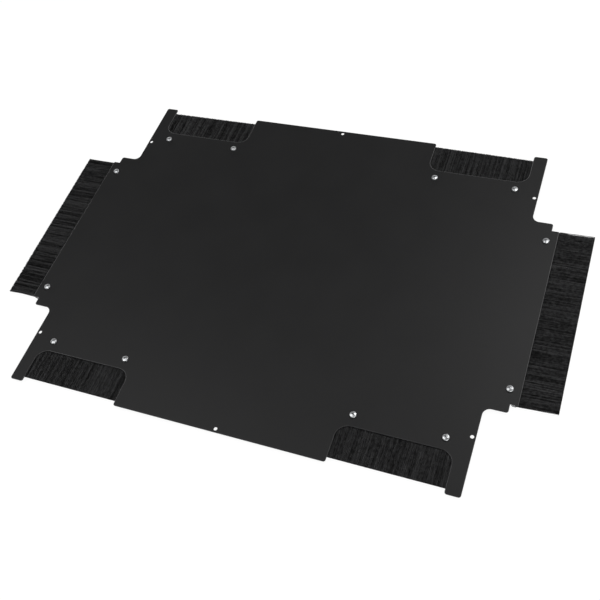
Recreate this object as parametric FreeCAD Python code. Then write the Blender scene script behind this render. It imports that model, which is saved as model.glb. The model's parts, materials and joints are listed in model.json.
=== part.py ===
import FreeCAD, Part
import math
import os

from collections import namedtuple
from FreeCAD import Vector

# A flat steel cable entry plate for the top or floor of an equipment rack.
# Four brush strips close the notches in its long edges and two stand out past its ends.
# X runs along the plate, Y across it and Z up. The plate lies flat, and the lowest
# faces of the clamp bars under it stand at Z = 0. All sizes are in millimetres.

# Plate outline
plate_thickness = 1.5
plate_width = 600.0          # across, between the two long edges
tab_span = 705.6             # along, over the narrow tabs at the four corners
middle_length = 335.0        # the full-width middle part, between the notches
notch_length = 163.5
notch_depth = 59.5
notch_radius = 19.0
shoulder_span = 770.8        # along, over the shoulders beside the end lands
shoulder_width = 333.0
shoulder_radius = 10.5       # the hollow corner between tab side and shoulder
land_span = 792.6            # along, over the lands that cover the end strips
land_width = 305.8
corner_radius = 3.5

# Holes that fasten the plate to its rack
mount_hole_diameter = 5.5
middle_hole_setback = 5.7    # from the long edge
side_hole_setback_x = 5.3    # from the end of a tab
side_hole_setback_y = 87.3   # from the long edge

# Brush strips: filaments folded round a core wire and gripped by a crimped steel channel
corner_strip_length = 180.0
end_strip_length = 304.0
mouth_setback = 2.0          # from the plate's edge back to the mouth of the channel
channel_height = 5.2
channel_depth = 6.0
channel_wall = 0.7
channel_radius = 1.2
lip_turn = 0.35              # how far each lip of the channel bites into the filaments
wire_diameter = 1.8
fold_flat = 0.2              # straight stretch at the back of the filaments' fold

# Free filaments, measured from the plate's edge
corner_reach = 51.5
end_reach = 53.9
bristle_gap = 0.3            # under the plate
bristle_start = 1.2          # where the pack has opened out, in front of the mouth
root_thickness = 4.6
tip_thickness = 2.0
ridge_pitch = 10.0
ridge_depth = 0.5
ridge_variation = 0.45       # share by which the ridges differ in width and height

# Clamp bars, folded to a Z: a foot on the plate, a web, and a leg under the channel
clamp_thickness = 1.5
clamp_bend_radius = 1.0
clamp_foot_margin = 7.5      # from the screw line to the back edge of the foot
leg_shortfall = 1.0          # the leg ends this far behind the channel's mouth

# Screws, and the hexagon nuts welded under the feet of the clamp bars
corner_screw_spacing = 131.0
end_screw_spacing = 261.4
corner_screw_setback = 17.0  # from the plate's edge back to the screw line
end_screw_setback = 15.8
screw_hole_diameter = 5.5
shank_diameter = 4.9
shank_stand_out = 1.0        # past the nut
head_diameter = 10.0
head_height = 3.8
nut_width = 8.0
nut_height = 4.0
nut_bore_diameter = 5.0

# Heights
channel_floor_z = clamp_thickness
plate_underside_z = channel_floor_z + channel_height
plate_top_z = plate_underside_z + plate_thickness
foot_low_z = plate_underside_z - clamp_thickness
nut_low_z = foot_low_z - nut_height
shank_length = plate_top_z - nut_low_z + shank_stand_out

# Places along a strip's own axis u, which starts at the plate's edge and points outwards
mouth_u = -mouth_setback
channel_back_u = mouth_u - channel_depth
channel_inner_height = channel_height - 2 * channel_wall
channel_middle_z = channel_floor_z + channel_height / 2
wire_u = channel_back_u + channel_wall + channel_inner_height / 2
bristle_start_u = mouth_u + bristle_start
bristle_top_z = plate_underside_z - bristle_gap

# The two sizes of strip
Kind = namedtuple("Kind", "length reach screw_spacing screw_setback")
corner_kind = Kind(corner_strip_length, corner_reach, corner_screw_spacing, corner_screw_setback)
end_kind = Kind(end_strip_length, end_reach, end_screw_spacing, end_screw_setback)

# Each strip: the direction that its filaments point in, in degrees about Z, the middle of
# the plate's edge it lies behind, and how much longer or shorter than its reach the hand
# trimmed tips are at its two ends
Strip = namedtuple("Strip", "kind angle x y start_trim end_trim")
corner_x = middle_length / 2 + notch_length / 2
corner_y = plate_width / 2 - notch_depth
end_x = land_span / 2
strips = {
    "right_end": Strip(end_kind, 0, end_x, 0.0, 0.0, -0.6),
    "left_end": Strip(end_kind, 180, -end_x, 0.0, 0.0, -4.5),
    "rear_right": Strip(corner_kind, 90, corner_x, corner_y, 0.2, 2.7),
    "rear_left": Strip(corner_kind, 90, -corner_x, corner_y, 0.1, -0.7),
    "front_left": Strip(corner_kind, 270, -corner_x, -corner_y, -0.8, -0.4),
    "front_right": Strip(corner_kind, 270, corner_x, -corner_y, -0.6, -0.6),
}


def unit(vector):
    """A copy of the vector with a length of 1."""
    return Vector(vector) / vector.Length


def rounded_face(corners):
    """A flat face whose outline turns at the given (point, radius) corners."""
    edges = []
    ends = []
    count = len(corners)
    for index, (point, radius) in enumerate(corners):
        back = unit(corners[index - 1][0] - point)
        ahead = unit(corners[(index + 1) % count][0] - point)
        half_angle = back.getAngle(ahead) / 2
        start = point + back * (radius / math.tan(half_angle))
        end = point + ahead * (radius / math.tan(half_angle))
        to_middle = unit(back + ahead)
        middle = point + to_middle * (radius / math.sin(half_angle) - radius)
        if radius > 0:
            edges.append(Part.Arc(start, middle, end).toShape())
        ends.append((start, end))
    for index in range(count):
        edges.append(Part.LineSegment(ends[index - 1][1], ends[index][0]).toShape())
    return Part.Face(Part.Wire(Part.__sortEdges__(edges)))


def plate_corners():
    """The corners of the plate's outline, counter-clockwise, each with its radius."""
    long_edge_y = plate_width / 2
    middle_x = middle_length / 2
    tab_inner_x = middle_x + notch_length
    notch_y = long_edge_y - notch_depth
    quarter = [
        (land_span / 2, land_width / 2, 0),
        (shoulder_span / 2, land_width / 2, 0),
        (shoulder_span / 2, shoulder_width / 2, corner_radius),
        (tab_span / 2, shoulder_width / 2, shoulder_radius),
        (tab_span / 2, long_edge_y, corner_radius),
        (tab_inner_x, long_edge_y, corner_radius),
        (tab_inner_x, notch_y, notch_radius),
        (middle_x, notch_y, notch_radius),
        (middle_x, long_edge_y, corner_radius),
    ]
    corners = []
    for side_x, side_y in ((1, 1), (-1, 1), (-1, -1), (1, -1)):
        ordered = quarter if side_x == side_y else quarter[::-1]
        corners += [(Vector(side_x * x, side_y * y, 0), radius) for x, y, radius in ordered]
    return corners


def mount_hole_places():
    """Centres of the six holes that take the rack's own bolts."""
    middle_y = plate_width / 2 - middle_hole_setback
    side_x = tab_span / 2 - side_hole_setback_x
    side_y = plate_width / 2 - side_hole_setback_y
    quarter_places = [(0, middle_y), (side_x, side_y), (-side_x, side_y)]
    return [Vector(x, side * y, 0) for side in (-1, 1) for x, y in quarter_places]


def screw_places(kind):
    """The two screw positions of a strip, in the strip's own frame."""
    return [Vector(-kind.screw_setback, side * kind.screw_spacing / 2, 0) for side in (-1, 1)]


def place(shape, strip):
    """Turn and move a shape from the strip's own frame to its place in the part."""
    placed = shape.copy()
    placed.rotate(Vector(0, 0, 0), Vector(0, 0, 1), strip.angle)
    placed.translate(Vector(strip.x, strip.y, 0))
    return placed


def drill(shape, places, diameter, bottom_z, depth):
    """Cut upright round holes of one diameter at the given places."""
    tools = [Part.makeCylinder(diameter / 2, depth, spot + Vector(0, 0, bottom_z)) for spot in places]
    return shape.cut(tools)


def make_plate():
    """The flat sheet, pierced for the rack's bolts and for the screws of the strips."""
    blank = rounded_face(plate_corners())
    blank.translate(Vector(0, 0, plate_underside_z))
    sheet = blank.extrude(Vector(0, 0, plate_thickness))
    sheet = drill(sheet, mount_hole_places(), mount_hole_diameter, plate_underside_z, plate_thickness)
    for strip in strips.values():
        places = [place(Part.Vertex(spot), strip).Point for spot in screw_places(strip.kind)]
        sheet = drill(sheet, places, screw_hole_diameter, plate_underside_z, plate_thickness)
    return sheet


def side_face(corners):
    """A rounded face upright across a strip, from (u, z, radius) corners."""
    return rounded_face([(Vector(u, 0, z), radius) for u, z, radius in corners])


def along_strip(face, length):
    """Extrude an upright face along a strip, centred on the strip's middle."""
    face.translate(Vector(0, -length / 2, 0))
    return face.extrude(Vector(0, length, 0))


def make_channel(length):
    """The U-shaped steel channel, with both lips turned in over the filaments."""
    top_z = channel_floor_z + channel_height
    lip_back_u = mouth_u - channel_wall
    outside = side_face([
        (mouth_u, channel_floor_z, 0),
        (mouth_u, top_z, 0),
        (channel_back_u, top_z, channel_radius),
        (channel_back_u, channel_floor_z, channel_radius),
    ])
    inner_low_z = channel_floor_z + channel_wall
    inner_high_z = top_z - channel_wall
    inside = side_face([
        (lip_back_u, inner_low_z, 0),
        (lip_back_u, inner_high_z, 0),
        (channel_back_u + channel_wall, inner_high_z, 0),
        (channel_back_u + channel_wall, inner_low_z, 0),
    ])
    opening = side_face([
        (mouth_u, inner_low_z + lip_turn, 0),
        (mouth_u, inner_high_z - lip_turn, 0),
        (lip_back_u - lip_turn, inner_high_z, 0),
        (lip_back_u - lip_turn, inner_low_z, 0),
    ])
    solid = along_strip(outside, length)
    return solid.cut([along_strip(inside, length), along_strip(opening, length)])


def make_core_wire(length):
    """The round wire that the filaments are folded over."""
    start = Vector(wire_u, -length / 2, channel_middle_z)
    return Part.makeCylinder(wire_diameter / 2, length, start, Vector(0, 1, 0))


def make_nut(spot):
    """The hexagon of a nut, welded on round the given screw position."""
    corner_r = nut_width / math.sqrt(3)
    points = []
    for turn in range(7):
        angle = turn * math.pi / 3
        points.append(spot + Vector(corner_r * math.cos(angle), corner_r * math.sin(angle), nut_low_z))
    return Part.Face(Part.makePolygon(points)).extrude(Vector(0, 0, nut_height))


def make_clamp_bar(kind):
    """The folded Z bar that grips the channel between its leg and the plate, with its nuts."""
    foot_back_u = -kind.screw_setback - clamp_foot_margin
    web_back_u = channel_back_u - clamp_thickness
    leg_end_u = mouth_u - leg_shortfall
    outer_radius = clamp_bend_radius + clamp_thickness
    section = side_face([
        (foot_back_u, plate_underside_z, 0),
        (foot_back_u, foot_low_z, 0),
        (web_back_u, foot_low_z, clamp_bend_radius),
        (web_back_u, 0, outer_radius),
        (leg_end_u, 0, 0),
        (leg_end_u, clamp_thickness, 0),
        (channel_back_u, clamp_thickness, clamp_bend_radius),
        (channel_back_u, plate_underside_z, outer_radius),
    ])
    spots = screw_places(kind)
    bar = along_strip(section, kind.length).fuse([make_nut(spot) for spot in spots])
    return drill(bar, spots, nut_bore_diameter, nut_low_z, nut_height + clamp_thickness)


def ridge_line(length):
    """Valleys and crests across a strip, as (place, height share), uneven as combed tufts are."""
    width_wave = 2.4
    height_wave = 5.3
    count = max(4, round(length / ridge_pitch))
    widths = [1 + ridge_variation * math.sin(width_wave * index) for index in range(count)]
    scale = length / sum(widths)
    v = -length / 2
    line = [(v, 0.0)]
    for index, width in enumerate(widths):
        crest = 1 - ridge_variation * (1 + math.sin(height_wave * index)) / 2
        line.append((v + scale * width / 2, crest))
        v += scale * width
        line.append((v, 0.0))
    return line


def make_fan(length, tip_start_u, tip_end_u):
    """The free filaments: a wedge with a ridged top, trimmed straight across its tips."""
    low_z = bristle_top_z - root_thickness
    far_u = max(tip_start_u, tip_end_u)
    outline = []
    for v, share in ridge_line(length):
        outline.append(Vector(bristle_start_u, v, bristle_top_z - ridge_depth * (1 - share)))
    outline.append(Vector(bristle_start_u, length / 2, low_z))
    outline.append(Vector(bristle_start_u, -length / 2, low_z))
    section = Part.Face(Part.makePolygon(outline + outline[:1]))
    combed = section.extrude(Vector(far_u - bristle_start_u, 0, 0))
    wedge = along_strip(side_face([
        (bristle_start_u, low_z, 0),
        (far_u, bristle_top_z - tip_thickness, 0),
        (far_u, bristle_top_z, 0),
        (bristle_start_u, bristle_top_z, 0),
    ]), length)
    plan = Part.makePolygon([
        Vector(bristle_start_u, -length / 2, low_z),
        Vector(tip_start_u, -length / 2, low_z),
        Vector(tip_end_u, length / 2, low_z),
        Vector(bristle_start_u, length / 2, low_z),
        Vector(bristle_start_u, -length / 2, low_z),
    ])
    trimmed = Part.Face(plan).extrude(Vector(0, 0, root_thickness))
    return combed.common(wedge).common(trimmed)


def make_bristles(length, tip_start_u, tip_end_u):
    """A strip's filaments: folded round the core wire, pinched by the lips, then free."""
    lip_back_u = mouth_u - channel_wall
    high_z = channel_floor_z + channel_height - channel_wall
    low_z = channel_floor_z + channel_wall
    fold_u = wire_u - channel_inner_height / 2
    fold_radius = (channel_inner_height - fold_flat) / 2
    root = side_face([
        (bristle_start_u, bristle_top_z - root_thickness, 0),
        (bristle_start_u, bristle_top_z - ridge_depth, 0),
        (mouth_u, high_z - lip_turn, 0),
        (lip_back_u - lip_turn, high_z, 0),
        (fold_u, high_z, fold_radius),
        (fold_u, low_z, fold_radius),
        (lip_back_u - lip_turn, low_z, 0),
        (mouth_u, low_z + lip_turn, 0),
    ])
    pack = along_strip(root, length).fuse(make_fan(length, tip_start_u, tip_end_u))
    return pack.cut(make_core_wire(length))


def make_screw():
    """A pan-head screw, its head's seat at Z = 0."""
    head = Part.makeCylinder(head_diameter / 2, head_height)
    shank = Part.makeCylinder(shank_diameter / 2, shank_length, Vector(0, 0, -shank_length))
    return head.fuse(shank)


def at_every_screw(solid, z):
    """A group of copies of a solid, one at each screw position of every strip."""
    copies = []
    for strip in strips.values():
        for spot in screw_places(strip.kind):
            copy = solid.copy()
            copy.translate(spot + Vector(0, 0, z))
            copies.append(place(copy, strip))
    return Part.makeCompound(copies)


def write(shape, node):
    """Write one node and report what it holds."""
    shape.exportStep(f"parts/{node}.step")
    print(f"{node}: {len(shape.Solids)} solids, {shape.Volume:.0f} mm3, valid {shape.isValid()}")


os.makedirs("parts", exist_ok=True)
write(make_plate(), "plate")
for name, strip in strips.items():
    length, reach = strip.kind.length, strip.kind.reach
    bristles = make_bristles(length, reach + strip.start_trim, reach + strip.end_trim)
    write(place(bristles, strip), f"bristles_{name}")
    write(place(make_channel(length), strip), f"channel_{name}")
    write(place(make_core_wire(length), strip), f"core_wire_{name}")
    write(place(make_clamp_bar(strip.kind), strip), f"clamp_bar_{name}")
write(at_every_screw(make_screw(), plate_top_z), "clamp_screws")
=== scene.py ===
"""The looks of a brush cable entry plate: its finishes, bristles, screws and a plain studio.

Everything is in metres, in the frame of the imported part: X along the plate, Y across it and
Z up, with the lowest faces of the clamp bars on the floor at Z = 0.
"""

import json
import logging
import math
import random
from dataclasses import dataclass
from enum import Enum

import bmesh
import bpy
from mathutils import Matrix, Vector, noise


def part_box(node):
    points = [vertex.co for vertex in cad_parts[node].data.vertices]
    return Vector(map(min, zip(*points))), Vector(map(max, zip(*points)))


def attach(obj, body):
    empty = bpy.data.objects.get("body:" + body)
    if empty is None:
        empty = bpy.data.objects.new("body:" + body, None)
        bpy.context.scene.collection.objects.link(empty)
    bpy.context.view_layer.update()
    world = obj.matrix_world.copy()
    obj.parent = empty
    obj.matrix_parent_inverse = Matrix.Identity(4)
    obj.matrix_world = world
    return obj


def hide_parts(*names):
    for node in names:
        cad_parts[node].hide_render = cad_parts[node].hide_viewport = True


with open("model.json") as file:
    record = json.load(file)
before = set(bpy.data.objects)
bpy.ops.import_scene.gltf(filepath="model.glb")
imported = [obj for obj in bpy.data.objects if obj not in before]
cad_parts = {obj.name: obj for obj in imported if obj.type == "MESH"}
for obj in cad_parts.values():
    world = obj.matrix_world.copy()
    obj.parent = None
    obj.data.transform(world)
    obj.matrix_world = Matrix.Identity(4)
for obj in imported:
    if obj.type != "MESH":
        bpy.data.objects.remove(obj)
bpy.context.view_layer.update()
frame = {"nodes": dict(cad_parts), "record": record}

MM = 0.001
MERGE_DISTANCE = 0.001 * MM
ROOT_BODY = "root"
# Most of a noise pattern's values lie between these two.
CLOUD_START = 0.3
CLOUD_END = 0.7
log = logging.getLogger("brush_plate")

Colour = tuple[float, float, float]
Place = tuple[float, float, float]
Pair = tuple[float, float]
Input = bpy.types.NodeSocket | tuple[float, ...] | float


class Slot(Enum):
    """The record's material slots of the bristles and the screws; nothing in the script reads them."""

    BRISTLE = "bristle_nylon"
    FASTENER = "fastener_zinc"


class Facing(Enum):
    """The way that a strip's bristles point, in degrees about Z."""

    RIGHT = 0
    REAR = 90
    LEFT = 180
    FRONT = 270


class NodeGraph:
    """A tree of nodes under construction."""

    def __init__(self, tree: bpy.types.NodeTree) -> None:
        """Start with an empty tree.

        Args:
            tree: The tree that gets the nodes.
        """
        self.tree = tree
        self.tree.nodes.clear()

    def add(self, kind: str, settings: dict[str, object] | None = None, **sockets: object) -> bpy.types.Node:
        """Add a node.

        Args:
            kind: The node's type name.
            settings: The node's own properties.
            **sockets: Values or outputs for its input sockets, with spaces written as underscores.

        Returns:
            The new node.
        """
        node = self.tree.nodes.new(kind)
        for key, value in (settings or {}).items():
            setattr(node, key, value)
        for key, value in sockets.items():
            self.set(node, key.replace("_", " "), value)
        return node

    def set(self, node: bpy.types.Node, socket: str | int, value: object) -> None:
        """Give an input socket a value, or join an output to it.

        Args:
            node: The node that has the socket.
            socket: The socket's name or index.
            value: A number, a colour, a vector or another node's output socket.
        """
        if isinstance(value, bpy.types.NodeSocket):
            self.tree.links.new(value, node.inputs[socket])
        else:
            node.inputs[socket].default_value = value

    def calculate(self, operation: str, first: Input, second: Input = 0.0) -> bpy.types.NodeSocket:
        """Work out a number.

        Args:
            operation: The Math node's operation.
            first: A number, or an output that gives one.
            second: A number, or an output that gives one.

        Returns:
            The result's output.
        """
        node = self.add("ShaderNodeMath", {"operation": operation})
        self.set(node, 0, first)
        self.set(node, 1, second)
        return node.outputs[0]

    def measure(self, operation: str, first: Input, second: Input = (0.0, 0.0, 0.0)) -> bpy.types.Node:
        """Work on vectors.

        Args:
            operation: The Vector Math node's operation.
            first: A vector, or an output that gives one.
            second: A vector, or an output that gives one.

        Returns:
            The node, which gives a vector and a number.
        """
        node = self.add("ShaderNodeVectorMath", {"operation": operation})
        self.set(node, 0, first)
        self.set(node, 1, second)
        return node


class NodeShader(NodeGraph):
    """The nodes of a material or a world."""

    # The Mix node's colour sockets share their names with its others, so they go by number.
    COLOUR_INPUTS: tuple[int, int] = (6, 7)
    COLOUR_OUTPUT: int = 2

    def __init__(self, owner: bpy.types.Material | bpy.types.World) -> None:
        """Start the owner's nodes afresh.

        Args:
            owner: The new material or world.
        """
        owner.use_nodes = True
        super().__init__(owner.node_tree)
        self.owner = owner

    def place(self) -> bpy.types.NodeSocket:
        """The Object coordinates, which stay with the piece."""
        return self.add("ShaderNodeTexCoord").outputs["Object"]

    def noise(self, per_metre: float, detail: float = 2.0) -> bpy.types.NodeSocket:
        """A cloudy pattern from 0 to 1.

        Args:
            per_metre: How many features lie in a metre.
            detail: How many finer layers the pattern has.

        Returns:
            The pattern's output.
        """
        pattern = self.add("ShaderNodeTexNoise", Vector=self.place(), Scale=per_metre, Detail=detail)
        return pattern.outputs["Fac"]

    def remap(
        self, value: Input, low: float, high: float,
        start: float = CLOUD_START, end: float = CLOUD_END, easing: str = "LINEAR",
    ) -> bpy.types.NodeSocket:
        """Spread a pattern over a range of numbers.

        Args:
            value: The pattern.
            low: What its start becomes.
            high: What its end becomes.
            start: The pattern's value that counts as its start.
            end: The pattern's value that counts as its end.
            easing: The Map Range node's interpolation.

        Returns:
            The spread pattern's output.
        """
        node = self.add("ShaderNodeMapRange", {"interpolation_type": easing}, Value=value)
        for socket, number in (("From Min", start), ("From Max", end), ("To Min", low), ("To Max", high)):
            self.set(node, socket, number)
        return node.outputs["Result"]

    def vary(self, value: Input, middle: float, spread: float, **ends: float) -> bpy.types.NodeSocket:
        """Vary a number to both sides of its middle by a pattern, whose ends may be given."""
        return self.remap(value, middle - spread, middle + spread, **ends)

    def blend(self, share: Input, first: Input, second: Input) -> bpy.types.NodeSocket:
        """Mix two colours by a pattern.

        Args:
            share: How much of the second colour there is.
            first: A linear colour, or an output that gives one.
            second: A linear colour, or an output that gives one.

        Returns:
            The mixed colour's output.
        """
        node = self.add("ShaderNodeMix", {"data_type": "RGBA"})
        self.set(node, "Factor", share)
        for socket, colour in zip(self.COLOUR_INPUTS, (first, second)):
            self.set(node, socket, (*colour, 1.0) if isinstance(colour, tuple) else colour)
        return node.outputs[self.COLOUR_OUTPUT]

    def bump(
        self, height: bpy.types.NodeSocket, depth: float, under: bpy.types.NodeSocket | None = None
    ) -> bpy.types.NodeSocket:
        """Raise a surface by a pattern.

        Args:
            height: The pattern.
            depth: What a pattern value of 1 stands for, in metres.
            under: Normals of a coarser bump below this one.

        Returns:
            The bumped normals' output.
        """
        node = self.add("ShaderNodeBump", Height=height, Distance=depth, Strength=1.0)
        if under is not None:
            self.set(node, "Normal", under)
        return node.outputs["Normal"]

    def principled(self, **sockets: object) -> bpy.types.Material:
        """Finish the material with a Principled shader.

        Args:
            **sockets: Values or outputs for the shader's sockets, with spaces written as underscores.

        Returns:
            The finished material.
        """
        shader = self.add("ShaderNodeBsdfPrincipled", **sockets)
        self.add("ShaderNodeOutputMaterial", Surface=shader.outputs["BSDF"])
        return self.owner


@dataclass(frozen=True)
class PowderCoat:
    """Black powder coat: a satin film with a fine pebbled skin, and a painted highlight along a sheet's
    rims.
    """

    name: str
    colour: Colour = (0.0074, 0.0074, 0.0077)
    thin_colour: Colour = (0.0086, 0.0086, 0.0089)
    roughness: float = 0.46
    roughness_spread: float = 0.015
    specular: float = 0.25
    pebbles_per_metre: float = 1100.0
    pebble_height: float = 0.012 * MM
    flow_per_metre: float = 160.0
    flow_height: float = 0.02 * MM
    patches_per_metre: float = 14.0
    skin_heights: tuple[float, ...] = ()
    bolt_places: tuple[Pair, ...] = ()
    bolt_clear: float = 7.0 * MM
    bolt_fade: float = 2.0 * MM
    # Painted edge highlight: the rims' lighter grey, and the brighter grey they take where seen edge-on.
    rim_highlight_colour: Colour = (0.020, 0.020, 0.0205)
    rim_glance_highlight: Colour = (0.420, 0.420, 0.425)
    rim_start: float = 0.003 * MM
    rim_full: float = 0.02 * MM
    rim_end: float = 0.28 * MM
    rim_hold: float = 0.8
    facing_blend: float = 0.5
    patch_detail: float = 3.0
    flow_detail: float = 1.0

    def shade(self, shader: NodeShader, face: Input) -> Input:
        """The coat's colour, with a painted highlight over the rims.

        The painted rim highlight is found by height, between the sheet's two skins. Round the bolt holes
        it is left out, so that they stay black. One quarter's holes stand for all four.

        Args:
            shader: The material under construction.
            face: The colour on the flat skins.

        Returns:
            The colour.
        """
        if not self.skin_heights:
            return face
        height = shader.add("ShaderNodeSeparateXYZ", Vector=shader.place()).outputs["Z"]
        gap: bpy.types.NodeSocket | None = None
        for skin_height in self.skin_heights:
            away = shader.calculate("ABSOLUTE", shader.calculate("SUBTRACT", height, skin_height))
            gap = away if gap is None else shader.calculate("MINIMUM", gap, away)
        # The painted rim highlight covers the cut rims between the two skins, and none round the bolt holes.
        edge = shader.remap(gap, 0.0, 1.0, start=self.rim_start, end=self.rim_full)
        mirrored = shader.measure("ABSOLUTE", shader.place()).outputs["Vector"]
        for x, y in self.bolt_places:
            away = shader.measure("DISTANCE", mirrored, (x, y, max(self.skin_heights))).outputs["Value"]
            far = shader.remap(away, 0.0, 1.0, start=self.bolt_clear, end=self.bolt_clear + self.bolt_fade)
            edge = shader.calculate("MULTIPLY", edge, far)
        # Painted glint: near the skins the rounded rims lighten further as they turn edge-on to the view.
        rounding = shader.remap(gap, 1.0, 0.0, start=self.rim_end * self.rim_hold, end=self.rim_end)
        facing = shader.add("ShaderNodeLayerWeight", Blend=self.facing_blend).outputs["Facing"]
        painted_glance = shader.calculate("MULTIPLY", facing, rounding)
        return shader.blend(edge, face, shader.blend(painted_glance, self.rim_highlight_colour, self.rim_glance_highlight))

    def build(self) -> bpy.types.Material:
        """Make the material.

        Returns:
            The material.
        """
        shader = NodeShader(bpy.data.materials.new(self.name))
        patches = shader.noise(self.patches_per_metre, self.patch_detail)
        face = shader.blend(shader.remap(patches, 0.0, 1.0), self.colour, self.thin_colour)
        flow = shader.bump(shader.noise(self.flow_per_metre, self.flow_detail), self.flow_height)
        return shader.principled(
            Base_Color=self.shade(shader, face),
            Roughness=shader.vary(patches, self.roughness, self.roughness_spread),
            Specular_IOR_Level=self.specular,
            Normal=shader.bump(shader.noise(self.pebbles_per_metre), self.pebble_height, under=flow),
        )


@dataclass(frozen=True)
class GalvanisedSteel:
    """Zinc-coated strip: faint frost-like grains and a finely rippled skin."""

    name: str
    colour: Colour = (0.47, 0.48, 0.49)
    pale_colour: Colour = (0.62, 0.63, 0.64)
    roughness: float = 0.36
    roughness_spread: float = 0.08
    grains_per_metre: float = 260.0
    ripples_per_metre: float = 1800.0
    ripple_height: float = 0.004 * MM

    def build(self) -> bpy.types.Material:
        """Make the material.

        Returns:
            The material.
        """
        shader = NodeShader(bpy.data.materials.new(self.name))
        grains = shader.add("ShaderNodeTexVoronoi", Vector=shader.place(), Scale=self.grains_per_metre)
        tone = shader.add("ShaderNodeSeparateColor", Color=grains.outputs["Color"]).outputs["Red"]
        return shader.principled(
            Base_Color=shader.blend(tone, self.colour, self.pale_colour),
            Metallic=1.0,
            Roughness=shader.vary(tone, self.roughness, self.roughness_spread, start=0.0, end=1.0),
            Normal=shader.bump(shader.noise(self.ripples_per_metre), self.ripple_height),
        )


@dataclass(frozen=True)
class DrawnWire:
    """Bright drawn wire, with fine scratches and dull patches."""

    name: str
    colour: Colour = (0.50, 0.50, 0.51)
    dull_colour: Colour = (0.36, 0.36, 0.37)
    roughness: float = 0.30
    dull_roughness: float = 0.45
    scratches_per_metre: float = 3000.0
    scratch_height: float = 0.003 * MM
    patches_per_metre: float = 60.0

    def build(self) -> bpy.types.Material:
        """Make the material.

        Returns:
            The material.
        """
        shader = NodeShader(bpy.data.materials.new(self.name))
        patches = shader.noise(self.patches_per_metre)
        return shader.principled(
            Base_Color=shader.blend(patches, self.colour, self.dull_colour),
            Metallic=1.0,
            Roughness=shader.remap(patches, self.roughness, self.dull_roughness),
            Normal=shader.bump(shader.noise(self.scratches_per_metre), self.scratch_height),
        )


@dataclass(frozen=True)
class ZincPlate:
    """Bright zinc plating on pressed heads, a little uneven from the tumbling barrel."""

    name: str
    colour: Colour = (0.60, 0.61, 0.62)
    dull_colour: Colour = (0.46, 0.47, 0.48)
    roughness: float = 0.33
    roughness_spread: float = 0.07
    patches_per_metre: float = 420.0
    patch_detail: float = 3.0
    dents_per_metre: float = 1500.0
    dent_height: float = 0.006 * MM

    def build(self) -> bpy.types.Material:
        """Make the material.

        Returns:
            The material.
        """
        shader = NodeShader(bpy.data.materials.new(self.name))
        patches = shader.noise(self.patches_per_metre, self.patch_detail)
        return shader.principled(
            Base_Color=shader.blend(shader.remap(patches, 0.0, 1.0), self.colour, self.dull_colour),
            Metallic=1.0,
            Roughness=shader.vary(patches, self.roughness, self.roughness_spread),
            Normal=shader.bump(shader.noise(self.dents_per_metre), self.dent_height),
        )


@dataclass(frozen=True)
class Nylon:
    """Black nylon filament, each one a little lighter or darker than the next."""

    name: str
    tone_attribute: str = "tone"
    dark: Colour = (0.0030, 0.0030, 0.0031)
    light: Colour = (0.0660, 0.0660, 0.0675)
    roughness: float = 0.42
    roughness_spread: float = 0.06
    specular: float = 0.12
    mottle: float = 0.31
    mottle_per_metre: float = 220.0
    drawn_per_metre: float = 4000.0
    drawn_height: float = 0.002 * MM

    def build(self) -> bpy.types.Material:
        """Make the material.

        Returns:
            The material.
        """
        shader = NodeShader(bpy.data.materials.new(self.name))
        strand = shader.add("ShaderNodeAttribute", {"attribute_name": self.tone_attribute}).outputs["Fac"]
        mottle = shader.remap(shader.noise(self.mottle_per_metre), -self.mottle, self.mottle)
        tone = shader.calculate("ADD", strand, mottle)
        return shader.principled(
            Base_Color=shader.blend(tone, self.dark, self.light),
            Roughness=shader.vary(tone, self.roughness, self.roughness_spread, start=0.0, end=1.0),
            Specular_IOR_Level=self.specular,
            Normal=shader.bump(shader.noise(self.drawn_per_metre), self.drawn_height),
        )


def link_object(name: str, data: bpy.types.ID) -> bpy.types.Object:
    """Put a mesh, curve, camera or light in the scene.

    Args:
        name: The object's name.
        data: What it shows.

    Returns:
        The object.
    """
    item = bpy.data.objects.new(name, data)
    bpy.context.scene.collection.objects.link(item)
    return item


def link_piece(
    name: str, mesh: bpy.types.Mesh, material: bpy.types.Material
) -> bpy.types.Object:
    """Put a finished mesh in the scene as a piece of the part.

    Args:
        name: The piece's name.
        mesh: Its mesh, already in place.
        material: Its material.

    Returns:
        The piece.
    """
    mesh.name = name
    mesh.materials.clear()
    mesh.materials.append(material)
    piece = link_object(name, mesh)
    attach(piece, ROOT_BODY)
    log.info("%s: %d faces", name, len(mesh.polygons))
    return piece


def link_curve(name: str) -> bpy.types.Object:
    """Put an empty curve in the scene.

    Args:
        name: The curve's name.

    Returns:
        The curve's object.
    """
    curve = bpy.data.curves.new(name, "CURVE")
    curve.dimensions = "3D"
    return link_object(name, curve)


def take_mesh(name: str, shape: bmesh.types.BMesh) -> bpy.types.Mesh:
    """Make a mesh of a bmesh that is done, and free the bmesh.

    Args:
        name: The mesh's name.
        shape: The bmesh.

    Returns:
        The mesh.
    """
    mesh = bpy.data.meshes.new(name)
    shape.to_mesh(mesh)
    shape.free()
    return mesh


def evaluated_mesh(item: bpy.types.Object) -> bpy.types.Mesh:
    """A mesh of what an object looks like, with its bevel or its modifiers."""
    bpy.context.view_layer.update()
    return bpy.data.meshes.new_from_object(item.evaluated_get(bpy.context.evaluated_depsgraph_get()))


def dress_node(node: str, material: bpy.types.Material) -> bpy.types.Object:
    """Give a CAD node its material.

    Args:
        node: The node's name.
        material: The material that it gets.

    Returns:
        The node's object.
    """
    piece = frame["nodes"][node]
    for slot in piece.material_slots:
        slot.material = material
    log.info("%s: dressed in %s", node, material.name)
    return piece


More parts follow.
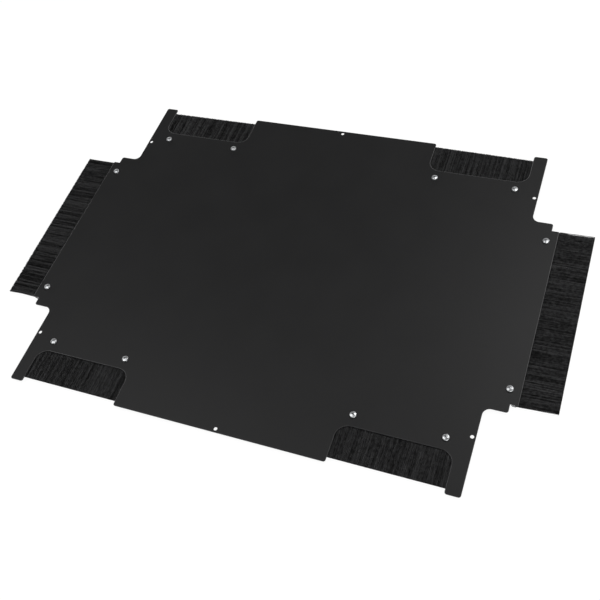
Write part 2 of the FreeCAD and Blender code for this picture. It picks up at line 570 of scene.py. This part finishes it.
@dataclass
class SheetMetal:
    """The plate and clamp bars, whose edges the coat rounds over, and the channels and wires."""

    plate_node: str = "plate"
    bar_prefix: str = "clamp_bar_"
    channel_prefix: str = "channel_"
    wire_prefix: str = "core_wire_"
    edge_round: float = 0.6 * MM
    bar_edge_round: float = 0.3 * MM
    bolt_round: float = 0.15 * MM
    bolt_reach: float = 4.5 * MM
    edge_segments: int = 3
    edge_angle: float = math.radians(35)
    flat_angle: float = math.radians(0.5)
    bar_coat: PowderCoat = PowderCoat("bar_powder_coat", roughness=0.52, flow_height=0.03 * MM)
    galvanised: GalvanisedSteel = GalvanisedSteel("channel_galvanised")
    wire: DrawnWire = DrawnWire("core_wire_drawn")

    def bolt_places(self) -> tuple[Pair, ...]:
        """Read where the bolt holes are from the record.

        Returns:
            The x and y of each hole in the plate's rear right quarter.
        """
        patterns = [mount["dims"] for mount in frame["record"]["mounts"] if mount["kind"] == "bolt_pattern"]
        spacings = [(dims.get("spacing_x_mm", 0.0), dims["spacing_y_mm"]) for dims in patterns]
        return tuple((x / 2 * MM, y / 2 * MM) for x, y in spacings)

    def weigh_edges(self, piece: bpy.types.Object) -> None:
        """Weigh the plate's sharp edges for rounding, with little at the bolt holes.

        Args:
            piece: The plate's object, whose later bevel reads the weights.
        """
        graph = NodeGraph(bpy.data.node_groups.new("edge_weights", "GeometryNodeTree"))
        for way in ("INPUT", "OUTPUT"):
            graph.tree.interface.new_socket("Geometry", in_out=way, socket_type="NodeSocketGeometry")
        angle = graph.add("GeometryNodeInputMeshEdgeAngle").outputs["Unsigned Angle"]
        weight = graph.calculate("GREATER_THAN", angle, self.edge_angle)
        place = graph.add("GeometryNodeInputPosition").outputs["Position"]
        mirrored = graph.measure("ABSOLUTE", place).outputs["Vector"]
        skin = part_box(self.plate_node)[1].z
        for x, y in self.bolt_places():
            away = graph.measure("DISTANCE", mirrored, (x, y, skin)).outputs["Value"]
            far = graph.calculate("GREATER_THAN", away, self.bolt_reach)
            share = graph.calculate("MAXIMUM", far, self.bolt_round / self.edge_round)
            weight = graph.calculate("MULTIPLY", weight, share)
        store = graph.add(
            "GeometryNodeStoreNamedAttribute", {"data_type": "FLOAT", "domain": "EDGE"},
            Geometry=graph.add("NodeGroupInput").outputs["Geometry"], Name="bevel_weight_edge", Value=weight,
        )
        graph.add("NodeGroupOutput", Geometry=store.outputs["Geometry"])
        piece.modifiers.new("edge_weights", "NODES").node_group = graph.tree

    def round_edges(self, piece: bpy.types.Object, width: float, weighed: bool = False) -> None:
        """Round a node's sharp edges, as a coat or a pressed edge does.

        Args:
            piece: The node's object.
            width: The width of the rounding.
            weighed: Whether the rounding is less at the bolt holes.
        """
        weld = piece.modifiers.new("weld", "WELD")
        weld.merge_threshold = MERGE_DISTANCE
        flatten = piece.modifiers.new("join_flat_faces", "DECIMATE")
        flatten.decimate_type = "DISSOLVE"
        flatten.angle_limit = self.flat_angle
        if weighed:
            self.weigh_edges(piece)
        rounding = piece.modifiers.new("edge_round", "BEVEL")
        rounding.width = width
        rounding.segments = self.edge_segments
        rounding.limit_method = "WEIGHT" if weighed else "ANGLE"
        rounding.angle_limit = self.edge_angle
        rounding.use_clamp_overlap = False
        rounding.harden_normals = True

    def build(self) -> None:
        """Dress every node that is made of sheet or wire."""
        low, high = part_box(self.plate_node)
        coat = PowderCoat("plate_powder_coat", skin_heights=(low.z, high.z), bolt_places=self.bolt_places())
        self.round_edges(dress_node(self.plate_node, coat.build()), self.edge_round, weighed=True)
        coats = {
            self.bar_prefix: self.bar_coat.build(),
            self.channel_prefix: self.galvanised.build(),
            self.wire_prefix: self.wire.build(),
        }
        for node in sorted(frame["nodes"]):
            for prefix, material in coats.items():
                if node.startswith(prefix):
                    piece = dress_node(node, material)
                    if prefix == self.bar_prefix:
                        self.round_edges(piece, self.bar_edge_round)


def between(ends: Pair, share: float) -> float:
    """The value that lies a given share of the way from one end to the other."""
    return ends[0] + (ends[1] - ends[0]) * share


@dataclass(frozen=True)
class Tuft:
    """Neighbouring filaments that cling together."""

    start: float
    end: float
    lean: float
    bow: float
    drop: float
    pull: float
    stray: float
    wave: float
    tone: float

    @property
    def middle(self) -> float:
        """The tuft's middle along its strip."""
        return (self.start + self.end) / 2

    def bowed(self, share: float) -> float:
        """How far the tuft bows aside at a share of its reach, by a parabola that peaks halfway."""
        return self.bow * 4 * share * (1 - share)


@dataclass
class StripPlace:
    """Where a strip lies, read from its channel and its core wire.

    The strip has its own frame: u points out from the plate's edge, v runs along the strip
    and w is up.
    """

    name: str
    facing: Facing
    mouth_setback: float = 2.0 * MM

    def __post_init__(self) -> None:
        """Work out the frame and the length from the channel's box."""
        low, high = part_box("channel_" + self.name)
        turn = Matrix.Rotation(math.radians(self.facing.value), 4, "Z")
        outward = turn @ Vector((1.0, 0.0, 0.0))
        half = (high - low) / 2
        origin = (low + high) / 2
        origin += outward * (abs(outward.x) * half.x + abs(outward.y) * half.y + self.mouth_setback)
        origin.z = 0.0
        self.matrix = Matrix.Translation(origin) @ turn
        self.length = 2 * (abs(outward.y) * half.x + abs(outward.x) * half.y)
        low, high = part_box("core_wire_" + self.name)
        wire = self.matrix.inverted() @ ((low + high) / 2)
        self.wire_u = wire.x
        self.wire_w = wire.z
        self.wire_radius = (high.z - low.z) / 2


@dataclass
class BrushStrip:
    """One strip's filaments, opened out from their channel and trimmed across the tips.

    The reaches, fans and leans are given at the strip's two ends, at its lowest and highest v.
    A fan is how far the filaments have spread along the strip where the pack has opened, and
    a lean is how far their tips have. A span is the heights of the pack's bottom and top.
    """

    place: StripPlace
    seed: int
    reaches: Pair
    fans: Pair = (0.0, 0.0)
    leans: Pair = (0.0, 0.0)
    root_u: float = -3.0 * MM
    root_span: Pair = (2.75 * MM, 5.45 * MM)
    open_u: float = 2.0 * MM
    open_span: Pair = (2.0 * MM, 6.45 * MM)
    tip_span: Pair = (4.3 * MM, 6.3 * MM)
    ceiling: float = 6.55 * MM
    filaments_per_metre: float = 29500.0
    root_radius: float = 0.15 * MM
    tip_radius: float = 0.13 * MM
    layer_depths: tuple[Pair, ...] = ((0.0, 0.08), (0.08, 0.54), (0.54, 1.0))
    tuft_widths: Pair = (0.6 * MM, 2.5 * MM)
    tuft_lean: float = 0.75 * MM
    tuft_bow: float = 0.35 * MM
    tuft_drop: float = 0.5 * MM
    tuft_valley: float = 0.7 * MM
    tuft_pull: float = 0.12
    stray_lean: float = 0.5 * MM
    backing_stray: float = 0.02 * MM
    backing_wave: float = 0.03 * MM
    sway: float = 0.25
    sink_shares: Pair = (0.4, 1.0)
    trim_jitter: float = 0.2 * MM
    wave: float = 0.12 * MM
    band_length: float = 16.0 * MM
    # A strip's middle tone: partly its own shade, partly painted light that evens out how the lamps light
    # each strip.
    tone_middle: float = 0.44
    tone_band: float = 0.18
    tone_tuft: float = 0.30
    tone_filament: float = 0.42
    points_along: tuple[float, ...] = (0.0, 0.04, 0.5, 1.0)
    folds_per_metre: float = 14750.0
    fold_depth: float = 2.5 * MM
    fold_gaps: Pair = (0.18 * MM, 0.82 * MM)
    fold_mouth: float = 1.3 * MM
    fold_mouth_u: float = -2.2 * MM
    fold_steps: int = 4

    def __post_init__(self) -> None:
        """Seed the strip's random draws."""
        self.rng = random.Random(self.seed)

    def comb_tufts(self, layer: int) -> list[Tuft]:
        """Divide a layer of the strip into tufts of uneven width, height and shade.

        The lowest layer backs the others, so its filaments keep their even spacing.

        Args:
            layer: The layer's number, from 0 at the bottom.

        Returns:
            The tufts from the strip's lowest v to its highest.
        """
        tufts = []
        v = -self.place.length / 2
        while v < self.place.length / 2:
            end = v + self.rng.uniform(*self.tuft_widths)
            band = noise.noise(Vector((v / self.band_length, self.seed, layer)))
            shade = self.rng.uniform(-self.tone_tuft, self.tone_tuft)
            tone = self.tone_middle + self.tone_band * band + shade
            drop = self.rng.random() * self.tuft_drop
            if layer:
                lean = self.rng.gauss(0.0, self.tuft_lean)
                bow = self.rng.gauss(0.0, self.tuft_bow)
                tufts.append(Tuft(v, end, lean, bow, drop, self.tuft_pull, self.stray_lean, self.wave, tone))
            else:
                tufts.append(Tuft(v, end, 0.0, 0.0, drop, 0.0, self.backing_stray, self.backing_wave, tone))
            v = end
        return tufts

    def filament(self, v: float, depth: float, tuft: Tuft) -> list[Vector]:
        """The points along one filament, from inside the channel to the cut tip.

        Args:
            v: Where it leaves the channel.
            depth: How high it lies in the pack, from 0 to 1.
            tuft: The tuft that it belongs to.

        Returns:
            Its points, in the strip's own frame.
        """
        share_v = v / self.place.length + 0.5
        reach = between(self.reaches, share_v) + self.rng.uniform(-self.trim_jitter, self.trim_jitter)
        pull = (tuft.middle - v) * tuft.pull
        offside = (v - tuft.middle) / (tuft.end - tuft.start) * 2
        sink = tuft.drop + self.tuft_valley * min(1.0, offside * offside)
        fan = between(self.fans, share_v)
        lean = between(self.leans, share_v) + tuft.lean + pull + self.rng.gauss(0.0, tuft.stray)
        points = [Vector((self.root_u, v, between(self.root_span, depth)))]
        for share in self.points_along[1:]:
            u = share * reach
            opened = (u - self.open_u) / (reach - self.open_u)
            low = between((self.open_span[0], self.tip_span[0]), opened)
            high = between((self.open_span[1], self.tip_span[1]), opened)
            high -= sink * between(self.sink_shares, share)
            w = between((low, high), depth) + self.rng.uniform(-tuft.wave, tuft.wave)
            aside = between((fan, lean), share) + tuft.bowed(share)
            aside += self.rng.gauss(0.0, tuft.stray * self.sway)
            points.append(Vector((u, v + aside, min(w, self.ceiling))))
        return points

    def fold(self, v: float) -> list[Vector]:
        """The points along one filament's fold behind the core wire, from lip to lip.

        Args:
            v: Where it lies along the strip.

        Returns:
            Its points, in the strip's own frame.
        """
        radius = self.place.wire_radius + self.rng.uniform(*self.fold_gaps)
        half = min(radius, self.fold_mouth)
        points = [Vector((self.fold_mouth_u, v, self.place.wire_w - half))]
        for step in range(self.fold_steps + 1):
            angle = -math.pi / 2 - math.pi * step / self.fold_steps
            aside = self.rng.gauss(0.0, self.tip_radius)
            u = self.place.wire_u + radius * math.cos(angle)
            points.append(Vector((u, v + aside, self.place.wire_w + radius * math.sin(angle))))
        points.append(Vector((self.fold_mouth_u, v, self.place.wire_w + half)))
        return points

    def draw(self, curve: bpy.types.Curve, points: list[Vector], radii: list[float]) -> None:
        """Add one line to a curve.

        Args:
            curve: The curve that carries it.
            points: Its points, in the strip's own frame.
            radii: The filament's radius at each of them.
        """
        spline = curve.splines.new("POLY")
        spline.points.add(len(points) - 1)
        placed = [self.place.matrix @ point for point in points]
        spline.points.foreach_set("co", [value for point in placed for value in (*point, 1.0)])
        spline.points.foreach_set("radius", radii)

    def draw_folds(self, curve: bpy.types.Curve) -> list[tuple[int, float]]:
        """Add the folds that show at the strip's two open ends.

        Args:
            curve: The curve that carries them.

        Returns:
            The number of points and the shade of each fold in turn.
        """
        strands = []
        for side in (-1, 1):
            for _ in range(round(self.fold_depth * self.folds_per_metre)):
                inset = self.rng.uniform(self.root_radius, self.fold_depth)
                points = self.fold(side * (self.place.length / 2 - inset))
                self.draw(curve, points, [self.root_radius] * len(points))
                strands.append((len(points), self.tone_middle + self.rng.gauss(0.0, self.tone_filament)))
        return strands

    def draw_filaments(self, curve: bpy.types.Curve) -> list[tuple[int, float]]:
        """Add every filament that stands out of the channel.

        Args:
            curve: The curve that carries them.

        Returns:
            The number of points and the shade of each filament in turn.
        """
        strands = []
        radii = [between((self.root_radius, self.tip_radius), share) for share in self.points_along]
        layers = [self.comb_tufts(layer) for layer in range(len(self.layer_depths))]
        reached = [0] * len(layers)
        count = round(self.place.length * self.filaments_per_metre)
        for index in range(count):
            v = self.place.length * ((index + self.rng.random()) / count - 0.5)
            layer = index % len(layers)
            depth = between(self.layer_depths[layer], self.rng.random())
            tufts = layers[layer]
            while v > tufts[reached[layer]].end and reached[layer] < len(tufts) - 1:
                reached[layer] += 1
            tuft = tufts[reached[layer]]
            self.draw(curve, self.filament(v, depth, tuft), radii)
            strands.append((len(radii), tuft.tone + self.rng.gauss(0.0, self.tone_filament)))
        return strands

    def build_mesh(self) -> bpy.types.Mesh:
        """Make every filament a thin three-sided rod with its own shade.

        The rods' section runs clockwise, so that their sides face outwards. The mesh has their
        end faces first, from the last rod to the first, and then their sides, from the first to
        the last.

        Returns:
            The strip's mesh.
        """
        section = link_curve("filament_section")
        corners = section.data.splines.new("POLY")
        corners.points.add(2)
        for index, point in enumerate(corners.points):
            angle = -index * math.tau / len(corners.points)
            point.co = (math.cos(angle), math.sin(angle), 0.0, 1.0)
        corners.use_cyclic_u = True
        carrier = link_curve("filament_lines")
        carrier.data.bevel_mode = "OBJECT"
        carrier.data.bevel_object = section
        carrier.data.use_fill_caps = True
        strands = self.draw_filaments(carrier.data) + self.draw_folds(carrier.data)
        mesh = evaluated_mesh(carrier)
        ring = len(corners.points)
        for spare in (carrier.data, section.data):
            bpy.data.curves.remove(spare)
        shades = [(count, min(1.0, max(0.0, shade))) for count, shade in strands]
        values = [shade for _, shade in reversed(shades) for _ in range(2 * ring)]
        values += [shade for count, shade in shades for _ in range(count * ring)]
        mesh.attributes.new(Nylon.tone_attribute, "FLOAT", "POINT").data.foreach_set("value", values)
        mesh.shade_smooth()
        return mesh

    def build(self, material: bpy.types.Material) -> bpy.types.Object:
        """Make the strip's bristles in place of their plain solid.

        Args:
            material: The filaments' material.

        Returns:
            The piece.
        """
        piece = link_piece("filaments_" + self.place.name, self.build_mesh(), material)
        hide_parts("bristles_" + self.place.name)
        return piece


@dataclass
class PanScrews:
    """The pan-head screws with cross recesses, two to a strip."""

    places: list[StripPlace]
    seed: int = 21
    corner_spacing: float = 131.0 * MM
    end_spacing: float = 261.4 * MM
    corner_setback: float = 17.0 * MM
    end_setback: float = 15.8 * MM
    head_radius: float = 5.0 * MM
    seat_chamfer: float = 0.25 * MM
    rim_height: float = 1.9 * MM
    rim_round: float = 1.3 * MM
    dome_rise: float = 0.8 * MM
    recess_span: float = 5.0 * MM
    recess_wing: float = 1.2 * MM
    recess_depth: float = 2.4 * MM
    recess_taper: float = 0.45
    shank_radius: float = 2.42 * MM
    core_radius: float = 2.08 * MM
    point_chamfer: float = 0.5 * MM
    thread_pitch: float = 0.8 * MM
    thread_turns: int = 3
    steps: int = 48
    rim_steps: int = 7
    dome_steps: int = 5
    sharp_angle: float = math.radians(32)

    def __post_init__(self) -> None:
        """Read the seat and the two ends of the screws from the frame."""
        low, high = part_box("clamp_screws")
        self.seat_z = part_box("plate")[1].z
        self.head_height = high.z - self.seat_z
        self.shank_length = self.seat_z - low.z
        self.rng = random.Random(self.seed)

    def outline(self) -> list[Vector]:
        """Draw half of the screw's section.

        Returns:
            Its corners, from the crown down to the point.
        """
        shoulder = self.head_radius - self.rim_round
        rim_top = self.head_height - self.dome_rise
        points = [Vector((0.0, 0.0, self.head_height))]
        for index in range(1, self.dome_steps):
            share = index / self.dome_steps
            points.append(Vector((shoulder * share, 0.0, rim_top + self.dome_rise * (1 - share * share))))
        for index in range(self.rim_steps + 1):
            angle = math.radians(90) * (1 - index / self.rim_steps)
            rise = (rim_top - self.rim_height) * math.sin(angle)
            points.append(Vector((shoulder + self.rim_round * math.cos(angle), 0.0, self.rim_height + rise)))
        thread_top = -self.shank_length + self.thread_pitch * (self.thread_turns + 1)
        points += [
            Vector((self.head_radius, 0.0, self.seat_chamfer)),
            Vector((self.head_radius - self.seat_chamfer, 0.0, 0.0)),
            Vector((self.shank_radius, 0.0, 0.0)),
            Vector((self.shank_radius, 0.0, thread_top)),
            Vector((self.core_radius, 0.0, thread_top - self.point_chamfer)),
            Vector((self.core_radius, 0.0, self.point_chamfer - self.shank_length)),
            Vector((self.core_radius - self.point_chamfer, 0.0, -self.shank_length)),
            Vector((0.0, 0.0, -self.shank_length)),
        ]
        return points

    def spin_line(
        self, shape: bmesh.types.BMesh, points: list[Vector], closed: bool, turns: float, rise: float
    ) -> None:
        """Spin a line of points about the screw's axis.

        Args:
            shape: The mesh that gets the new faces.
            points: The line's points.
            closed: Whether its last point is joined to its first.
            turns: How many turns it makes.
            rise: How far it climbs in each turn.
        """
        corners = [shape.verts.new(point) for point in points]
        edges = [shape.edges.new(pair) for pair in zip(corners, corners[1:])]
        if closed:
            edges.append(shape.edges.new((corners[-1], corners[0])))
        bmesh.ops.spin(
            shape, geom=corners + edges, axis=(0.0, 0.0, 1.0), cent=(0.0, 0.0, 0.0),
            dvec=(0.0, 0.0, rise / self.steps), angle=math.tau * turns, steps=round(self.steps * turns),
            use_merge=not rise,
        )

    def cut_recess(self, body: bpy.types.Mesh) -> bpy.types.Mesh:
        """Sink the tapered cross into the crown.

        Args:
            body: The screw without its recess.

        Returns:
            The screw with it.
        """
        cross = bmesh.new()
        bmesh.ops.create_grid(cross, x_segments=3, y_segments=3, size=1.0)
        # The grid's lines lie at a third and at one, so a half parts the outer from the inner.
        parting = 0.5
        corners = [face for face in cross.faces if min(map(abs, face.calc_center_median().xy)) > parting]
        bmesh.ops.delete(cross, geom=corners, context="FACES")
        for vert in cross.verts:
            for axis in (0, 1):
                size = self.recess_span if abs(vert.co[axis]) > parting else self.recess_wing
                vert.co[axis] = math.copysign(size / 2, vert.co[axis])
            vert.co.z = self.head_height + self.dome_rise
        top = bmesh.ops.extrude_face_region(cross, geom=list(cross.faces))
        lowered = [item for item in top["geom"] if isinstance(item, bmesh.types.BMVert)]
        for vert in lowered:
            vert.co.x *= self.recess_taper
            vert.co.y *= self.recess_taper
            vert.co.z = self.head_height - self.recess_depth
        bmesh.ops.recalc_face_normals(cross, faces=list(cross.faces))
        cutter = link_object("cross_cutter", take_mesh("cross_cutter", cross))
        blank = link_object("screw_blank", body)
        cut = blank.modifiers.new("recess", "BOOLEAN")
        cut.operation = "DIFFERENCE"
        cut.solver = "EXACT"
        cut.object = cutter
        screw = evaluated_mesh(blank)
        for spare in (cutter.data, body):
            bpy.data.meshes.remove(spare)
        return screw

    def build_one(self) -> bpy.types.Mesh:
        """Make one screw that stands on its seat at the origin.

        Returns:
            The screw's mesh.
        """
        shape = bmesh.new()
        self.spin_line(shape, self.outline(), closed=False, turns=1, rise=0.0)
        bmesh.ops.remove_doubles(shape, verts=list(shape.verts), dist=MERGE_DISTANCE)
        bmesh.ops.recalc_face_normals(shape, faces=list(shape.faces))
        screw = self.cut_recess(take_mesh("screw_body", shape))
        thread = bmesh.new()
        thread.from_mesh(screw)
        bmesh.ops.remove_doubles(thread, verts=list(thread.verts), dist=MERGE_DISTANCE)
        sunk = self.core_radius - self.point_chamfer / 2
        low = self.point_chamfer + self.thread_pitch / 2 - self.shank_length
        tooth = [
            Vector((sunk, 0.0, low - self.thread_pitch / 2)),
            Vector((self.shank_radius, 0.0, low)),
            Vector((sunk, 0.0, low + self.thread_pitch / 2)),
        ]
        self.spin_line(thread, tooth, closed=True, turns=self.thread_turns, rise=self.thread_pitch)
        open_ends = [edge for edge in thread.edges if edge.is_boundary]
        bmesh.ops.holes_fill(thread, edges=open_ends, sides=len(tooth))
        bmesh.ops.recalc_face_normals(thread, faces=list(thread.faces))
        thread.to_mesh(screw)
        thread.free()
        return screw

    def build(self, material: bpy.types.Material) -> bpy.types.Object:
        """Set a screw at every screw hole, each stopped at a turn of its own.

        Args:
            material: The plating.

        Returns:
            The piece with all the screws.
        """
        one = self.build_one()
        together = bmesh.new()
        for place in self.places:
            at_end = place.facing in (Facing.LEFT, Facing.RIGHT)
            spacing = self.end_spacing if at_end else self.corner_spacing
            setback = self.end_setback if at_end else self.corner_setback
            for side in (-1, 1):
                seat = place.matrix @ Vector((-setback, side * spacing / 2, self.seat_z))
                turned = one.copy()
                stop = Matrix.Rotation(self.rng.uniform(0.0, math.pi / 2), 4, "Z")
                turned.transform(Matrix.Translation(seat) @ stop)
                together.from_mesh(turned)
                bpy.data.meshes.remove(turned)
        mesh = take_mesh("pan_screws", together)
        bpy.data.meshes.remove(one)
        mesh.shade_smooth()
        mesh.set_sharp_from_angle(angle=self.sharp_angle)
        piece = link_piece("pan_screws", mesh, material)
        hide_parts("clamp_screws")
        return piece


def looking_from(position: Vector, aim: Vector) -> Matrix:
    """The place of a camera or lamp that looks from one point at another."""
    return Matrix.Translation(position) @ (aim - position).to_track_quat("-Z", "Y").to_matrix().to_4x4()


def grey(level: float) -> tuple[float, float, float, float]:
    """An opaque grey, or white at a level of 1."""
    return (level, level, level, 1.0)


@dataclass(frozen=True)
class Lamp:
    """A square soft lamp that faces the part. Its power is in watts."""

    name: str
    position: Place
    side: float
    power: float

    def build(self) -> None:
        """Hang the lamp."""
        light = bpy.data.lights.new(self.name, "AREA")
        light.shape = "SQUARE"
        light.size = self.side
        light.energy = self.power
        link_object(self.name, light).matrix_world = looking_from(Vector(self.position), Vector())


@dataclass(frozen=True)
class PhotoCamera:
    """The camera, where the photograph was taken from."""

    position: Place = (0.45550, -0.68264, 1.05146)
    aim: Place = (0.04484, -0.05787, 0.0082)
    roll: float = math.radians(16.6314)
    lens: float = 50.0
    sensor: float = 36.0

    def build(self) -> None:
        """Set up the camera and make it the scene's own."""
        camera = bpy.data.cameras.new("photo_camera")
        camera.lens = self.lens
        camera.sensor_width = self.sensor
        camera.sensor_fit = "HORIZONTAL"
        stand = link_object("photo_camera", camera)
        upright = looking_from(Vector(self.position), Vector(self.aim))
        stand.matrix_world = upright @ Matrix.Rotation(-self.roll, 4, "Z")
        bpy.context.scene.camera = stand


@dataclass(frozen=True)
class Studio:
    """A pale floor, a soft grey room that is white at the horizon, and soft lamps."""

    floor_radius: float = 2.0
    floor_sides: int = 64
    floor_glow: float = 0.93
    floor_colour: float = 0.12
    floor_bounce: float = 0.8
    room_white: float = 1.0
    room_grey: float = 0.14
    white_below: float = 0.15
    grey_above: float = 0.50
    lamps: tuple[Lamp, ...] = (
        Lamp("overhead_lamp", (-1.125, -0.25, 2.22), side=1.6, power=20.9),
        Lamp("rear_lamp", (0.75, 1.125, 2.10), side=1.0, power=18.8),
        Lamp("front_lamp", (1.625, -1.625, 0.985), side=2.0, power=29.0),
    )

    def build(self) -> None:
        """Make the room, the floor and the lamps."""
        bpy.context.scene.view_settings.view_transform = "Standard"
        self.build_room()
        self.build_floor()
        for lamp in self.lamps:
            lamp.build()
        log.info("studio: room, floor and lamps")

    def build_room(self) -> None:
        """Make the world white at the horizon and grey above."""
        world = bpy.data.worlds.new("soft_room")
        bpy.context.scene.world = world
        shader = NodeShader(world)
        way = shader.add("ShaderNodeTexCoord").outputs["Generated"]
        height = shader.add("ShaderNodeSeparateXYZ", Vector=way).outputs["Z"]
        strength = shader.remap(
            height, self.room_white, self.room_grey,
            start=self.white_below, end=self.grey_above, easing="SMOOTHSTEP",
        )
        room = shader.add("ShaderNodeBackground", Color=grey(1.0), Strength=strength)
        shader.add("ShaderNodeOutputWorld", Surface=room.outputs["Background"])

    def build_floor(self) -> None:
        """Make the pale floor, which looks white and keeps a soft shadow."""
        shape = bmesh.new()
        bmesh.ops.create_circle(shape, cap_ends=True, segments=self.floor_sides, radius=self.floor_radius)
        mesh = take_mesh("floor", shape)
        shader = NodeShader(bpy.data.materials.new("floor_paper"))
        path = shader.add("ShaderNodeLightPath").outputs
        seen = shader.calculate("MAXIMUM", path["Is Camera Ray"], path["Is Glossy Ray"])
        seen = shader.calculate("MAXIMUM", seen, path["Is Transmission Ray"])
        matte = shader.add("ShaderNodeBsdfDiffuse", Color=grey(self.floor_colour))
        glow = shader.add("ShaderNodeEmission", Color=grey(1.0), Strength=self.floor_glow)
        white = shader.add("ShaderNodeAddShader")
        for socket, part in enumerate((matte, glow)):
            shader.set(white, socket, part.outputs[0])
        bounce = shader.add("ShaderNodeBsdfDiffuse", Color=grey(self.floor_bounce))
        paper = shader.add("ShaderNodeMixShader")
        for socket, value in enumerate((seen, bounce.outputs[0], white.outputs[0])):
            shader.set(paper, socket, value)
        shader.add("ShaderNodeOutputMaterial", Surface=paper.outputs[0])
        mesh.materials.append(shader.owner)
        floor = link_object("floor", mesh)


def brush_strips() -> tuple[BrushStrip, ...]:
    """Lay out the six strips, each with its own length, lean and spread of shades. Each strip's middle tone
    is also set lighter or darker to even out how the lamps light the strips, which is painted light and
    shade.

    Returns:
        The two end strips, and then the four in the notches.
    """
    return (
        BrushStrip(
            StripPlace("right_end", Facing.RIGHT), seed=11, reaches=(53.2 * MM, 52.6 * MM),
            fans=(0.1 * MM, 2.3 * MM), leans=(1.8 * MM, 2.2 * MM),
            tone_middle=0.42, tone_tuft=0.22, tone_filament=0.30,
        ),
        BrushStrip(
            # The left end's lighter middle tone paints in lamp light that falls less on it than on the right
            # end.
            StripPlace("left_end", Facing.LEFT), seed=12, reaches=(54.6 * MM, 50.0 * MM),
            fans=(-0.5 * MM, -1.5 * MM), leans=(-0.5 * MM, -1.85 * MM),
            tuft_widths=(0.5 * MM, 2.4 * MM), tuft_lean=1.5 * MM, tone_middle=0.64, tone_tuft=0.95,
        ),
        BrushStrip(
            StripPlace("rear_right", Facing.REAR), seed=13, reaches=(51.7 * MM, 54.2 * MM), tone_middle=0.47,
        ),
        BrushStrip(
            StripPlace("rear_left", Facing.REAR), seed=14, reaches=(51.6 * MM, 50.8 * MM),
            tone_middle=0.41, tone_tuft=0.50,
        ),
        BrushStrip(
            StripPlace("front_left", Facing.FRONT), seed=15, reaches=(50.7 * MM, 51.1 * MM),
            tone_middle=0.52, tone_tuft=0.50,
        ),
        BrushStrip(
            StripPlace("front_right", Facing.FRONT), seed=16, reaches=(50.9 * MM, 50.9 * MM),
            tone_middle=0.56, tone_tuft=0.22, tone_filament=0.32,
        ),
    )


def main() -> None:
    """Build the part's pieces in order, then the studio around them."""
    logging.basicConfig(level=logging.INFO, format="%(name)s %(message)s")
    SheetMetal().build()
    nylon = Nylon("filament_nylon").build()
    strips = brush_strips()
    for strip in strips:
        strip.build(nylon)
    PanScrews([strip.place for strip in strips]).build(ZincPlate("screw_zinc").build())
    Studio().build()
    PhotoCamera().build()


if __name__ == "__main__":
    main()
